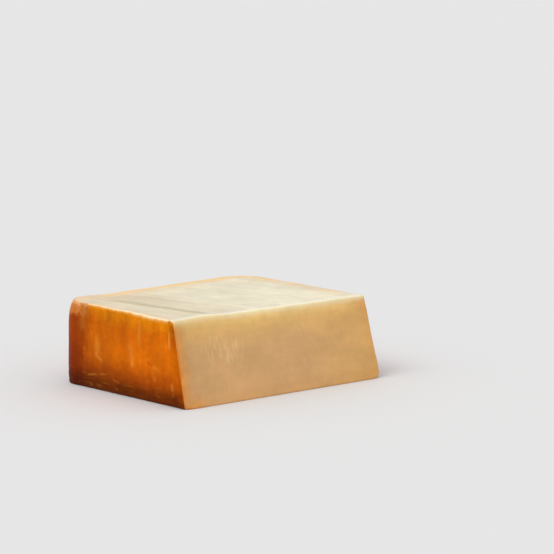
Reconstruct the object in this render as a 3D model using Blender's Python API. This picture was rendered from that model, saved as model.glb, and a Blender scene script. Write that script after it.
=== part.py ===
"""A block of smoked gouda, cut by hand from a larger cheese.

It lies on its rind. The top and the long front face are cuts; the two ends, the back and the
underside are rind. The origin is on the underside, in the middle of the block's length and width,
with X along the block, -Y towards the cut front and Z up. All sizes are in metres.
"""

import math

import bmesh
import bpy
from mathutils import Vector

# Driving dimensions of the block.
HEIGHT = 0.056
FRONT_LENGTH = 0.1672  # the top edge of the cut front, along X
LEFT_WIDTH = 0.1180  # the top edge of the left end, along Y
RIGHT_WIDTH = 0.1289  # the top edge of the right end, along Y
LEFT_SPLAY = 0.0052  # how far the left end runs outwards from front to back
RIGHT_SPLAY = 0.0015  # how far the right end runs outwards from front to back
FRONT_SLANT = 0.0150  # how far the foot of the cut front stands in front of its top edge
END_SLANT = 0.0021  # how far the foot of each end stands outside its top edge

# The sides in order: front, right end, back, left end. Each corner is where a side starts:
# front-left, front-right, back-right, back-left.
CORNER_RADIUS = (0.0030, 0.0036, 0.0208, 0.0166)  # seen from above

# Rounding of the top edge and of the foot, along each side and then at each corner.
TOP_INSET = ((0.0010, 0.0042, 0.0024, 0.0009), (0.0010, 0.0030, 0.0030, 0.0041))
TOP_DROP = ((0.0012, 0.0028, 0.0022, 0.0009), (0.0012, 0.0024, 0.0026, 0.0155))
FOOT_INSET = ((0.0008, 0.0026, 0.0030, 0.0027), (0.0028, 0.0030, 0.0040, 0.0008))
FOOT_RISE = ((0.0012, 0.0080, 0.0090, 0.0086), (0.0050, 0.0050, 0.0100, 0.0062))
BULGE = ((0.0002, 0.0006, 0.0008, 0.0005), (0.0, 0.0, 0.0003, 0.0))  # the wall's swell at mid height
CORNER_REACH = 0.006  # how far past its own arc a corner's rounding fades out

# Unevenness of the cut top.
TOP_DISH = 0.0005  # the middle lies this much below the rim
EDGE_HUMP = 0.0011  # the front edge rises here, where the wire wandered
EDGE_HUMP_X = -0.058
EDGE_HUMP_SPREAD = 0.013
CORNER_LIP = 0.0014  # the back-left corner curls up
CORNER_LIP_SPREAD = 0.014
BACK_WAVE = 0.0002  # the back edge sags on its left half and rises on its right half

# Facets.
LONG_STEPS = 24  # along the straight of the front and of the back
SHORT_STEPS = 16  # along the straight of each end
HALF_ARC_STEPS = 3  # from the end of a corner's arc to its middle
FOOT_STEPS = 4
WALL_STEPS = 6
TOP_STEPS = 4

RIND_COLOUR = (0.60, 0.14, 0.008, 1.0)
CUT_COLOUR = (0.78, 0.62, 0.42, 1.0)
RIND_ROUGHNESS = 0.42
CUT_ROUGHNESS = 0.55


def smooth(t):
    """Eases from 0 to 1."""
    t = min(max(t, 0.0), 1.0)
    return t * t * (3.0 - 2.0 * t)


def plan_corners():
    """The four corners of the top before rounding, with the front top edge on y = 0."""
    half = FRONT_LENGTH / 2
    return (
        Vector((-half, 0.0)),
        Vector((half, 0.0)),
        Vector((half + RIGHT_SPLAY, RIGHT_WIDTH)),
        Vector((-half - LEFT_SPLAY, LEFT_WIDTH)),
    )


def corner_arc(index):
    """The rounding of one corner: its centre, its radius, and the directions where it starts and ends."""
    corners = plan_corners()
    here, before, after = corners[index], corners[index - 1], corners[(index + 1) % 4]
    to_before, to_after = (before - here).normalized(), (after - here).normalized()
    half_angle = to_before.angle(to_after) / 2
    radius = CORNER_RADIUS[index]
    centre = here + (to_before + to_after).normalized() * (radius / math.sin(half_angle))
    along_before, along_after = here - before, after - here
    start = math.atan2(-along_before.x, along_before.y)
    end = math.atan2(-along_after.x, along_after.y)
    turn = (end - start) % (2 * math.pi)
    return centre, radius, start, turn


def arc_point(arc, share):
    """A point of an arc and its outward normal; share runs from 0 at its start to 1 at its end."""
    centre, radius, start, turn = arc
    angle = start + turn * share
    normal = Vector((math.cos(angle), math.sin(angle)))
    return centre + normal * radius, normal


def side_points(side):
    """One side of the outline, from the middle of one corner's arc to the middle of the next."""
    first, last = corner_arc(side), corner_arc((side + 1) % 4)
    steps = LONG_STEPS if side in (0, 2) else SHORT_STEPS
    points = [arc_point(first, 0.5 + 0.5 * k / HALF_ARC_STEPS) for k in range(HALF_ARC_STEPS)]
    start, normal = arc_point(first, 1.0)
    end = arc_point(last, 0.0)[0]
    points += [(start.lerp(end, k / steps), normal) for k in range(steps + 1)]
    points += [arc_point(last, 0.5 * k / HALF_ARC_STEPS) for k in range(1, HALF_ARC_STEPS)]
    return points


def outline():
    """The block's outline, anticlockwise, as (point, normal, side, way from its start, way to its end)."""
    samples = []
    for side in range(4):
        points = side_points(side)
        stop = arc_point(corner_arc((side + 1) % 4), 0.5)[0]
        ways = [0.0]
        for (here, _), (there, _) in zip(points, points[1:] + [(stop, None)]):
            ways.append(ways[-1] + (there - here).length)
        for (point, normal), way in zip(points, ways):
            samples.append((point, normal, side, way, ways[-1] - way))
    return samples


def along(table, sample):
    """A value that each side and each corner has, eased from the one to the other along the outline."""
    sides, corners = table
    _, _, side, from_start, to_end = sample
    value = sides[side]
    for corner, way in ((side, from_start), ((side + 1) % 4, to_end)):
        _, radius, _, turn = corner_arc(corner)
        reach = radius * turn / 2 + CORNER_REACH
        value += (corners[corner] - sides[side]) * (1.0 - smooth(way / reach))
    return value


def levels():
    """The rings of the wall from foot to top edge, each as (part, share of that part)."""
    foot = [("foot", k / FOOT_STEPS) for k in range(FOOT_STEPS + 1)]
    wall = [("wall", k / WALL_STEPS) for k in range(1, WALL_STEPS)]
    top = [("top", k / TOP_STEPS) for k in range(TOP_STEPS + 1)]
    return foot + wall + top


def wall_point(sample, part, share):
    """A point of the wall over one sample of the outline."""
    drop, rise = along(TOP_DROP, sample), along(FOOT_RISE, sample)
    angle = share * math.pi / 2
    if part == "foot":
        inset = along(FOOT_INSET, sample) * (1.0 - math.sin(angle))
        height = rise * (1.0 - math.cos(angle))
    elif part == "wall":
        inset = 0.0
        height = rise + (HEIGHT - drop - rise) * share
    else:
        inset = along(TOP_INSET, sample) * (1.0 - math.cos(angle))
        height = HEIGHT - drop * (1.0 - math.sin(angle))
    swell = along(BULGE, sample) * math.sin(math.pi * height / HEIGHT)
    point = sample[0] + sample[1] * (swell - inset)
    return Vector((point.x, point.y, height))


def cap_points(rim, columns, rows):
    """The inside points of the top, spread between its four edges."""
    south = rim[0 : columns + 1]
    east = rim[columns : columns + rows + 1]
    north = rim[columns + rows : 2 * columns + rows + 1][::-1]
    west = (rim[2 * columns + rows :] + rim[:1])[::-1]
    grid = [south]
    for j in range(1, rows):
        v = j / rows
        row = [west[j]]
        for i in range(1, columns):
            u = i / columns
            edges = south[i] * (1 - v) + north[i] * v + west[j] * (1 - u) + east[j] * u
            ends = south[0] * (1 - u) + south[-1] * u, north[0] * (1 - u) + north[-1] * u
            row.append(edges - ends[0] * (1 - v) - ends[1] * v)
        grid.append(row + [east[j]])
    grid.append(north)
    return grid


def unevenness(x, y):
    """How far the cut top stands above or below its own level at a place."""
    width = (LEFT_WIDTH + RIGHT_WIDTH) / 2
    across = max(0.0, 1.0 - (2 * x / FRONT_LENGTH) ** 2) * max(0.0, 1.0 - (2 * y / width - 1) ** 2)
    hump = math.exp(-(((x - EDGE_HUMP_X) / EDGE_HUMP_SPREAD) ** 2) - (y / EDGE_HUMP_SPREAD) ** 2)
    corner = plan_corners()[3]
    lip = math.exp(-((x - corner.x) ** 2 + (y - corner.y) ** 2) / CORNER_LIP_SPREAD**2)
    wave = math.sin(2 * math.pi * x / FRONT_LENGTH) * y / width
    return EDGE_HUMP * hump + CORNER_LIP * lip + BACK_WAVE * wave - TOP_DISH * across


def finish_point(point):
    """Gives a point of the plain block the slant of its walls and the unevenness of the top."""
    width = (LEFT_WIDTH + RIGHT_WIDTH) / 2
    share = point.z / HEIGHT
    forward = FRONT_SLANT * (1.0 - share) * (1.0 - point.y / width)
    outward = END_SLANT * (1.0 - share) * point.x / (FRONT_LENGTH / 2)
    lift = unevenness(point.x, point.y) * share * share
    return Vector((point.x + outward, point.y - forward, point.z + lift))


def centred(points):
    """Moves the points so that the middle of their length and width is at the origin."""
    xs, ys = [p.x for p in points], [p.y for p in points]
    middle = Vector(((min(xs) + max(xs)) / 2, (min(ys) + max(ys)) / 2, 0.0))
    return [p - middle for p in points]


def material(name, colour, roughness):
    made = bpy.data.materials.new(name)
    made.use_nodes = True
    shader = made.node_tree.nodes["Principled BSDF"]
    shader.inputs["Base Color"].default_value = colour
    shader.inputs["Roughness"].default_value = roughness
    shader.inputs["Metallic"].default_value = 0.0
    return made


def build_block():
    """The block as one closed mesh: rings of wall, a grid of points on top and one flat underside."""
    samples = outline()
    count = len(samples)
    rings = [[wall_point(s, part, share) for s in samples] for part, share in levels()]
    columns, rows = LONG_STEPS + 2 * HALF_ARC_STEPS, SHORT_STEPS + 2 * HALF_ARC_STEPS
    cap = cap_points(rings[-1], columns, rows)

    inside = [point for row in cap[1:-1] for point in row[1:-1]]
    points = centred([finish_point(p) for ring in rings for p in ring] + [finish_point(p) for p in inside])

    mesh = bmesh.new()
    verts = [mesh.verts.new(p) for p in points]
    top_ring = (len(rings) - 1) * count
    first_inside = len(rings) * count

    def cap_vert(i, j):
        if j == 0:
            return verts[top_ring + i]
        if i == columns:
            return verts[top_ring + columns + j]
        if j == rows:
            return verts[top_ring + 2 * columns + rows - i]
        if i == 0:
            return verts[top_ring + (2 * columns + 2 * rows - j) % count]
        return verts[first_inside + (j - 1) * (columns - 1) + i - 1]

    mesh.faces.new([verts[k] for k in reversed(range(count))])
    for level in range(len(rings) - 1):
        for k in range(count):
            low, high, after = level * count, (level + 1) * count, (k + 1) % count
            face = mesh.faces.new((verts[low + k], verts[low + after], verts[high + after], verts[high + k]))
            face.material_index = 1 if samples[k][2] == 0 else 0
            face.smooth = True
    for j in range(rows):
        for i in range(columns):
            corners = (cap_vert(i, j), cap_vert(i + 1, j), cap_vert(i + 1, j + 1), cap_vert(i, j + 1))
            face = mesh.faces.new(corners)
            face.material_index = 1
            face.smooth = True

    data = bpy.data.meshes.new("gouda_block")
    mesh.to_mesh(data)
    mesh.free()
    data.materials.append(material("smoked_rind", RIND_COLOUR, RIND_ROUGHNESS))
    data.materials.append(material("cut_cheese", CUT_COLOUR, CUT_ROUGHNESS))
    block = bpy.data.objects.new("gouda_block", data)
    bpy.context.scene.collection.objects.link(block)
    return block


def main():
    for old in list(bpy.data.objects):
        bpy.data.objects.remove(old, do_unlink=True)
    build_block()


main()
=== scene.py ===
"""A block of smoked gouda in a pale studio, laid out as an add-on and run as a script.

The block is one closed mesh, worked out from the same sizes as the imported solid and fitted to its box.
Geometry Nodes raise its relief and measure how far each point lies from the rind and from the cuts;
three materials read those distances. Lengths are in metres, X runs along the block, -Y out of the
slanting cut front and Z up.
"""

import math

import bpy
import numpy as np
from bpy.props import FloatProperty, FloatVectorProperty, IntProperty, PointerProperty
from bpy.types import Operator, Panel, PropertyGroup
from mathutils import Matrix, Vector


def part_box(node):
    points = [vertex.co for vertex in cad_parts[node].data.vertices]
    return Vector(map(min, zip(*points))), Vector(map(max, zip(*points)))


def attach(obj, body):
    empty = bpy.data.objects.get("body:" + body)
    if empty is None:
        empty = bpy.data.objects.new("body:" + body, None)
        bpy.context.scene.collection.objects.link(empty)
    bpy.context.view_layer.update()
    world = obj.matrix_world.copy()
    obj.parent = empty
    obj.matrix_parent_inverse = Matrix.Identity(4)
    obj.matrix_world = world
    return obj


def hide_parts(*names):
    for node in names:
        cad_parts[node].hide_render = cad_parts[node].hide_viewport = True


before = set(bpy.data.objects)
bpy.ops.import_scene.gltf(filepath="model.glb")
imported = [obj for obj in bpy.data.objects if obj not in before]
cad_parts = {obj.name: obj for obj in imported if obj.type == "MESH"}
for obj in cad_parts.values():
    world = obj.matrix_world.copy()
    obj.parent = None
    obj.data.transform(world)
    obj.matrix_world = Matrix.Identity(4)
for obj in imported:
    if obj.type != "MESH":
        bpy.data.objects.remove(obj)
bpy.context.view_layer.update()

bl_info = {
    "name": "Smoked Gouda Block",
    "version": (1, 0, 0),
    "blender": (4, 5, 0),
    "location": "View3D > Sidebar > Gouda",
    "description": "Builds a block of smoked gouda with cut faces and a smoked rind, in a pale studio",
    "category": "Object",
}

NODE = "gouda_block"
BODY = "root"
BOX_LOW, BOX_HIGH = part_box(NODE)

# The sides in order: front, right end, back, left end. Each corner is where a side starts.
FRONT, BACK = 0, 2
CORNER_RADIUS = (0.0030, 0.0036, 0.0208, 0.0166)

# Rounding of the top edge and of the foot, along each side and then at each corner.
TOP_INSET = ((0.0010, 0.0042, 0.0024, 0.0009), (0.0014, 0.0020, 0.0030, 0.0043))
TOP_DROP = ((0.0012, 0.0028, 0.0022, 0.0009), (0.0020, 0.0016, 0.0026, 0.0155))
FOOT_INSET = ((0.0008, 0.0026, 0.0030, 0.0027), (0.0028, 0.0030, 0.0040, 0.0008))
FOOT_RISE = ((0.0012, 0.0080, 0.0090, 0.0086), (0.0050, 0.0050, 0.0100, 0.0062))
BULGE = ((0.0002, 0.0006, 0.0008, 0.0005), (0.0, 0.0, 0.0003, 0.0))
CORNER_REACH = 0.006

# Masks that run along the outline: their values at the sides and at the corners, and a corner's reach.
OUTLINE_MASKS = {
    # Smoked darkens the rind at the rounded back corners: partly smoke, partly painted shade.
    "smoked": (((0.0, 0.0, 0.0, 0.0), (0.0, 0.35, 1.0, 1.0)), 0.032),
    "shoulder": (((0.0, 0.0, 0.0, 0.0), (0.0, 0.0, 0.0, 1.0)), 0.027),
    "rubbed": (((1.0, 0.3, 0.0, 1.0), (1.0, 0.6, 0.0, 0.0)), 0.004),
}

# Unevenness of the cut top, and where its edge stands higher: along X, back from the front's top edge,
# spread and height.
TOP_DISH = 0.0005
BACK_WAVE = 0.0002
TOP_BUMPS = (
    (-0.0580, 0.0000, 0.0130, 0.0011),
    (-0.0888, 0.1180, 0.0140, 0.0012),
    (-0.0700, 0.1200, 0.0100, 0.0006),
    (-0.0850, 0.0840, 0.0190, 0.0008),
    (-0.0850, 0.0460, 0.0190, 0.0008),
)

# Relief: the sizes along X, Y and Z of its streaks, creases and drags, with their detail; the noise
# levels that give the lowest and the highest point; and where the relief fades out.
RELIEF_SEED = 3.0
SWELL_DETAIL = 2.0
RIND_STREAK_SIZE, RIND_STREAK_DETAIL = (0.0026, 0.0026, 0.022), 2.0
CREASE_SIZE, CREASE_DETAIL = (0.011, 0.011, 0.0024), 3.0
DRAG_SIZE, DRAG_DETAIL = (0.0032, 0.070, 0.020), 2.0
NOISE_LEVELS = (0.25, 0.75)
ABOVE_FLOOR = (0.0004, 0.0040)
PAST_EDGE = (0.0, 0.0020, 1.0, 0.0)
FULL_WRINKLES = 0.45  # as a share of the wrinkles' reach
CHIP_PLACE = (BOX_LOW.x + 0.0070, -0.0549, 0.0545)

# Marks on the rind of the left end: how far along Y and up Z, length, width, tilt from upright in
# degrees (over towards the back), and strength, which is below zero for a dark mark.
LEFT_END_MARKS = (
    (-0.0243, 0.0443, 0.0185, 0.0016, 0.0, 0.42),
    (-0.0260, 0.0430, 0.0200, 0.0013, 0.0, 0.30),
    (-0.0544, 0.0425, 0.0130, 0.0015, 10.0, 0.62),
    (-0.0562, 0.0500, 0.0070, 0.0026, 40.0, -0.40),
    # The next dark mark lies on the chip: painted shade in its dent.
    (-0.0537, 0.0544, 0.0034, 0.0018, 60.0, -0.55),
    (0.0185, 0.0300, 0.0160, 0.0045, 6.0, 0.28),
    (0.0192, 0.0245, 0.0060, 0.0024, 10.0, 0.38),
    (0.0160, 0.0222, 0.0085, 0.0022, 62.0, 0.36),
    (-0.0172, 0.0295, 0.0180, 0.0045, 12.0, 0.28),
    (-0.0182, 0.0238, 0.0070, 0.0026, 8.0, 0.50),
    (-0.0358, 0.0253, 0.0070, 0.0011, 71.0, -0.50),
    (-0.0425, 0.0231, 0.0070, 0.0020, 70.0, 0.28),
    (-0.0415, 0.0160, 0.0050, 0.0034, 20.0, 0.20),
    # The level light marks near the foot, tilted near 80 degrees, are painted highlights on its creases.
    (0.0230, 0.0102, 0.0130, 0.0013, -81.0, 0.50),
    (0.0120, 0.0117, 0.0090, 0.0012, -84.0, 0.36),
    (-0.0020, 0.0092, 0.0085, 0.0013, 80.0, 0.36),
    (0.0253, 0.0036, 0.0050, 0.0018, 76.0, 0.50),
    (0.0165, 0.0034, 0.0062, 0.0018, 82.0, 0.46),
    (0.0085, 0.0062, 0.0080, 0.0013, 86.0, 0.30),
    (-0.0021, 0.0040, 0.0046, 0.0016, 78.0, 0.40),
    (-0.0592, 0.0130, 0.0060, 0.0024, 6.0, 0.46),
    (-0.0600, 0.0080, 0.0030, 0.0018, 10.0, 0.36),
    (-0.0455, 0.0052, 0.0070, 0.0014, 84.0, 0.26),
    (-0.0075, 0.0400, 0.0180, 0.0080, 0.0, -0.28),
    (0.0350, 0.0430, 0.0100, 0.0060, 20.0, 0.18),
    (0.0290, 0.0390, 0.0080, 0.0036, -10.0, -0.22),
)
MARK_WOBBLE = 0.0014
WOBBLE_SCALE, WOBBLE_DETAIL = 260.0, 2.0
MARK_ENDS = (0.15, 0.60)  # as shares of its length, how far from its centre a mark fades

SHOULDER_PLACE = (-0.0872, 0.0611, 0.0560)  # where the top meets the rubbed corner
LONG_STREAK_ACROSS = -0.0547  # the top's longest streak, across the drag and along it
LONG_STREAK_MIDDLE = 0.0

# Combed patches on the cut front: along X and up Z, half widths, and strength; where a patch fades, as
# the squared distance in half widths; and the combing between the patches.
FRONT_COMBS = ((-0.0460, 0.0340, 0.0190, 0.0110, 0.24), (0.0190, 0.0405, 0.0110, 0.0060, 0.22))
COMB_EDGE = (0.3, 1.3)
COMB_BETWEEN = 0.05

# The tables that the finishes read. Clouds, streaks and mottling make a colour lighter and darker, by a
# strength. A pattern is a mask of soft streaks: size along X, Y and Z, seed, detail, and the noise
# levels of none and of all of it. A fade goes from one value of a measure to another, with its share at
# each, and some add how far noise shifts the measure. A band is that shift, and the colours that follow
# each other along a measure. Shares say how much of a mask is used, and relief how much goes into the
# bump. The bump's height, the grain's size and two of the shader's settings come last.
RIND_LOOK = {
    "clouds": {"cloud": (0.014, 0.014, 0.020), "streak": (0.0040, 0.0040, 0.016),
               "mottle": (0.0030, 0.0030, 0.0022), "strength": 0.42, "seed": 2.0},
    "patterns": {
        "streaks": ((0.0017, 0.0017, 0.009), 1.0, 3.0, 0.44, 0.72),
        "brushed": ((0.012, 0.012, 0.014), 7.0, 1.0, 0.46, 0.64),
        "wide_waver": ((0.010, 0.010, 0.010), 4.0, 2.0, 0.3, 0.7),
        "waver": ((0.0040, 0.0040, 0.0040), 3.0, 3.0, 0.3, 0.7),
        "blotches": ((0.0024, 0.0024, 0.0022), 8.0, 3.0, 0.50, 0.66),
        "creases": ((0.0090, 0.0090, 0.0011), 5.0, 3.0, 0.54, 0.72),
    },
    "fades": {
        "left_end": (-0.078, -0.076, 1.0, 0.0),
        "brushed": (0.0, 1.0, 0.15, 1.0),
        # Amber: a painted glow of light through the cheese under the top edge.
        "amber": (0.0010, 0.0130, 0.85, 0.0, 0.005),
        # The sunny and shaded fades are painted light and shade.
        "sunny_along": (0.012, -0.026, 0.0, 1.0),
        "sunny_up": (0.006, 0.014, 0.0, 1.0),
        "sunny_lift": (0.036, 0.048, 1.12, 0.99),
        "shaded_lift": (0.008, 0.026, 0.84, 0.97),
        "by_front": (0.0010, 0.0060, 0.45, 0.0),
        "by_front_up": (0.028, 0.044, 0.5, 1.0),
        "smoke": (0.02, 0.76, 0.0, 1.0, 0.18),
        "smoke_top": (0.001, 0.012, 0.55, 1.0),
        "shoulder": (0.14, 0.50, 0.0, 1.0, 0.16),
        "worn": (0.0466, 0.0512, 0.0, 0.95, 0.0030),
        "worn_top": (0.0535, 0.0562, 0.0, 0.95, 0.0030),
        "blotches_up": (0.020, 0.050, 0.05, 0.40),
        "lit": (1.06, 1.36, 0.0, 0.30),
        "lit_up": (0.004, 0.022, 0.0, 1.0),
        "streaks_up": (0.006, 0.024, 0.03, 0.16),
        "creases_up": (0.009, 0.018, 0.14, 0.0),
        "scuffs_up": (0.004, 0.020, 0.30, 1.0),
        "rim_width": (-0.050, 0.045, 0.90, 1.35),
        "rim_lift": (-0.035, 0.038, 0.0, 0.0005),
        "rim": (0.0022, 0.0036, 1.0, 0.0),
        "unworn": (0.25, 0.75, 1.0, 0.0),
        "golden": (0.0004, 0.0022, 0.9, 0.0),
        "roughness": (0.6, 1.7, 0.34, 0.54, 0.3),
    },
    "bands": {
        # The rind band is browner towards the foot: partly smoke, partly painted shade.
        "rind": (0.004, ((0.0, "rind_foot"), (0.0055, "rind_foot"), (0.0140, "rind_low"),
                         (0.0245, "rind"), (0.0400, "rind"))),
        # The corner band: rounded back corners darker, partly smoke and partly painted shade.
        "corner": (0.0, ((0.0, "corner_foot"), (0.0060, "corner_foot"), (0.0150, "corner_low"),
                         (0.0380, "corner"), (0.0560, "corner"))),
        # The rim band: a pale top edge, partly worn rind and partly painted highlight.
        "rim": (0.0, ((0.0, "ridge"), (0.0009, "ridge"), (0.0015, "ridge_fade"),
                      (0.0022, "below_ridge"), (0.0040, "rind_amber"))),
    },
    "shares": {"rim_waver": 0.0006},
    "relief": {"streaks": 0.35, "grain": 0.35, "light": 0.6},
    "bump": 0.00020, "grain": 0.0009, "specular": 0.03, "glow": 0.1,
}
TOP_LOOK = {
    "clouds": {"cloud": (0.024, 0.036, 0.030), "streak": (0.0045, 0.016, 0.020),
               "mottle": (0.0048, 0.0060, 0.0048), "strength": 0.25, "seed": 6.0},
    "patterns": {
        "fine": ((0.0017, 0.050, 0.020), 1.0, 3.0, 0.45, 0.75),
        "wide": ((0.0060, 0.060, 0.020), 2.0, 2.0, 0.45, 0.72),
        "cloud": ((0.011, 0.011, 0.011), 3.0, 3.0, 0.3, 0.7),
        "patches": ((0.014, 0.016, 0.014), 12.0, 2.0, 0.42, 0.58),
        "specks": ((0.0030, 0.0040, 0.0030), 5.0, 2.0, 0.56, 0.68),
    },
    "fades": {
        "grey_left": (-0.040, -0.004, 1.0, 0.0),
        "grey_right": (0.062, 0.076, 0.0, 0.9),
        "drag": (-0.060, 0.030, 1.0, 0.22),
        "long_streak": (0.0002, 0.0062, 0.48, 0.0, 0.0008),
        "long_shade": (0.002, 0.0115, 0.34, 0.0, 0.0008),
        "long_ends": (0.030, 0.056, 1.0, 0.0),
        "long_fine": (0.0, 1.0, 0.80, 1.1),
        "dusk_left": (-0.072, -0.060, 0.2, 1.0),
        "dusk_right": (-0.058, -0.010, 0.75, 0.15),
        "dusk_back": (0.004, 0.040, 0.0, 1.0),
        "dusk_streaks": (0.0, 1.0, 0.75, 1.2),
        "back": (0.020, 0.056, 0.0, 1.0),
        "back_left": (-0.075, -0.030, 0.25, 1.0),
        "right": (0.060, 0.080, 0.0, 1.0),
        "right_front": (0.006, 0.030, 0.10, 1.0),
        "right_patches": (0.0, 1.0, 0.12, 0.80),
        "peach": (0.004, 0.024, 0.85, 0.0, 0.006),
        "worn_edge": (0.0004, 0.0080, 0.75, 0.0),
        "worn_left": (-0.078, -0.066, 1.0, 0.0),
        "pale": (0.0008, 0.0080, 0.80, 0.0, 0.0015),
        "golden": (0.004, 0.0135, 0.90, 0.0, 0.006),
        "corner_peach": (0.018, 0.031, 0.75, 0.0, 0.006),
        "corner_pale": (0.0120, 0.0230, 0.90, 0.0, 0.006),
        "specks": (0.003, 0.014, 0.45, 0.0),
        "roughness": (0.0, 1.4, 0.42, 0.58, 0.5),
    },
    "shares": {"wide_drag": 0.22, "fine_drag": 0.28, "golden_right": 0.55},
    "relief": {"fine": -0.7, "grain": 0.3},
    "bump": 0.00018, "grain": 0.0008, "specular": 0.3, "glow": 0.25,
}
FRONT_LOOK = {
    "clouds": {"cloud": (0.030, 0.030, 0.016), "streak": (0.026, 0.026, 0.0040),
               "mottle": (0.0060, 0.0060, 0.0060), "strength": 0.18, "seed": 7.0},
    "patterns": {
        "waver": ((0.009, 0.009, 0.009), 9.0, 3.0, 0.3, 0.7),
        "dashes": ((0.0011, 0.010, 0.0066), 8.0, 0.0, 0.46, 0.70),
    },
    "fades": {
        "far": (0.0008, 0.0030, 0.85, 0.0, 0.0012),
        "far_right": (0.060, 0.070, 0.0, 1.0),
        "fringe": (0.0030, 0.0115, 0.95, 0.0, 0.0012),
        "fringe_top": (0.0010, 0.0090, 0.0, 1.0),
        "fringe_ends": (0.060, 0.078, 0.20, 1.0),
        "warm": (0.010, 0.075, 0.0, 0.60),
        "warm_top": (0.004, 0.016, 0.0, 1.0),
        "glow": (0.058, 0.076, 0.0, 1.0),
        "glow_top": (0.0015, 0.006, 0.0, 1.0),
        "glow_low": (0.004, 0.013, 0.35, 0.0),
        "left_shade": (-0.082, -0.040, 0.92, 1.0),
        "roughness": (0.7, 1.6, 0.46, 0.58, 0.3),
    },
    "bands": {
        # The front band: a painted highlight on the top edge, a painted glow under it, and tan in painted
        # shade.
        "front": (0.0006, ((0.0, "crest"), (0.0005, "crest"), (0.0015, "crest_fade"),
                           (0.0027, "cream_butter"), (0.0046, "butter"), (0.0082, "honey"),
                           (0.0150, "honey_low"), (0.0260, "tan"))),
        "fringe": (0.0012, ((0.0, "fringe"), (0.0008, "fringe"), (0.0019, "seam"),
                            (0.0036, "fringe_in"), (0.0090, "fringe_in"))),
    },
    "relief": {"dashes": 0.8, "grain": 0.3},
    "bump": 0.00018, "grain": 0.0009, "specular": 0.3, "glow": 0.25,
}

# What the finishes share: how rough a streak's noise is, the detail and the share of each part of the
# clouds, the grain and its pits, and how light spreads in cheese.
STREAK_ROUGHNESS = 0.55
CLOUD_PARTS = (("Cloud", 2.0, 1.8), ("Streak", 3.0, 0.8), ("Mottle", 5.0, 0.95))
GRAIN_NOISE = {"Detail": 3.0, "Roughness": 0.6}
PIT_SCALE = 0.35
PIT_DEPTH = (0.0, 0.35, -0.6, 0.0)
GLOW_RADIUS, GLOW_SCALE = (1.0, 0.5, 0.2), 0.003
CHEESE_IOR = 1.45

FLOOR_RADIUS, FLOOR_TURNS = 14.0, 96
FLOOR_ROUGHNESS, FLOOR_SPECULAR = 0.9, 0.2
KEY_WAY, KEY_SPREAD = (-0.62, 0.05, 0.78), math.radians(36.0)
VIEW_END = 20.0


def tone(red, green, blue):
    """A display colour, 0 to 255 a channel, as the linear colour that a shader takes."""
    parts = [c / 255.0 for c in (red, green, blue)]
    return tuple(c / 12.92 if c <= 0.04045 else ((c + 0.055) / 1.055) ** 2.4 for c in parts)


def metres(name, description, default):
    return FloatProperty(name=name, description=description, default=default, unit="LENGTH")


def degrees(name, description, turn):
    return FloatProperty(
        name=name, description=description, default=math.radians(turn), subtype="ANGLE"
    )


def whole(name, description, default, least):
    return IntProperty(name=name, description=description, default=default, min=least)


def brightness(name, description, default):
    return FloatProperty(name=name, description=description, default=default, min=0.0)


def shade(name, description, red, green, blue):
    return FloatVectorProperty(
        name=name, description=description, subtype="COLOR", size=3, default=tone(red, green, blue)
    )


class BlockSizes(PropertyGroup):
    """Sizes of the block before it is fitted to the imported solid's box."""

    height: metres("Height", "From the underside to the cut top", 0.056)
    front_length: metres("Front Length", "Top edge of the cut front", 0.1672)
    left_width: metres("Left Width", "Top edge of the left end", 0.1180)
    right_width: metres("Right Width", "Top edge of the right end", 0.1289)
    left_splay: metres("Left Splay", "How far the left end runs outwards to the back", 0.0052)
    right_splay: metres("Right Splay", "How far the right end runs outwards to the back", 0.0015)
    front_slant: metres("Front Slant", "How far the front's foot stands before its top edge",
                                 0.0150)
    end_slant: metres("End Slant", "How far each end's foot stands outside its top edge", 0.0021)
    long_steps: whole("Long Steps", "Points along the straight of the front", 134, 8)
    short_steps: whole("Short Steps", "Points along the straight of an end", 92, 8)
    arc_steps: whole("Arc Steps", "Points along half a corner's arc", 8, 2)
    edge_steps: whole("Edge Steps", "Rings in the rounding of the foot and of the top edge", 8, 2)
    wall_steps: whole("Wall Steps", "Rings between the two roundings", 46, 4)


class BlockRelief(PropertyGroup):
    """Heights and sizes of what stands out on the block's surface; the relief's inputs have their names."""

    swell_height: metres("Swell Height", "Slow waves all over", 0.00025)
    swell_size: metres("Swell Size", "Width of the slow waves", 0.024)
    streak_height: metres("Streak Height", "Upright streaks of the rind", 0.00010)
    wrinkle_height: metres("Wrinkle Height", "Level creases near the rind's foot", 0.00045)
    wrinkle_reach: metres("Wrinkle Reach", "How far up the foot's creases go", 0.014)
    drag_height: metres("Drag Height", "Ridges that the wire left in the cuts", 0.00016)
    drag_turn: degrees("Drag Turn", "How far the top's ridges turn from the Y axis", 8.5)
    chip_size: metres("Chip Size", "Radius of the chip in the rind's top edge", 0.0022)
    chip_depth: metres("Chip Depth", "Depth of the chip in the rind's top edge", 0.0007)


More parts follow.
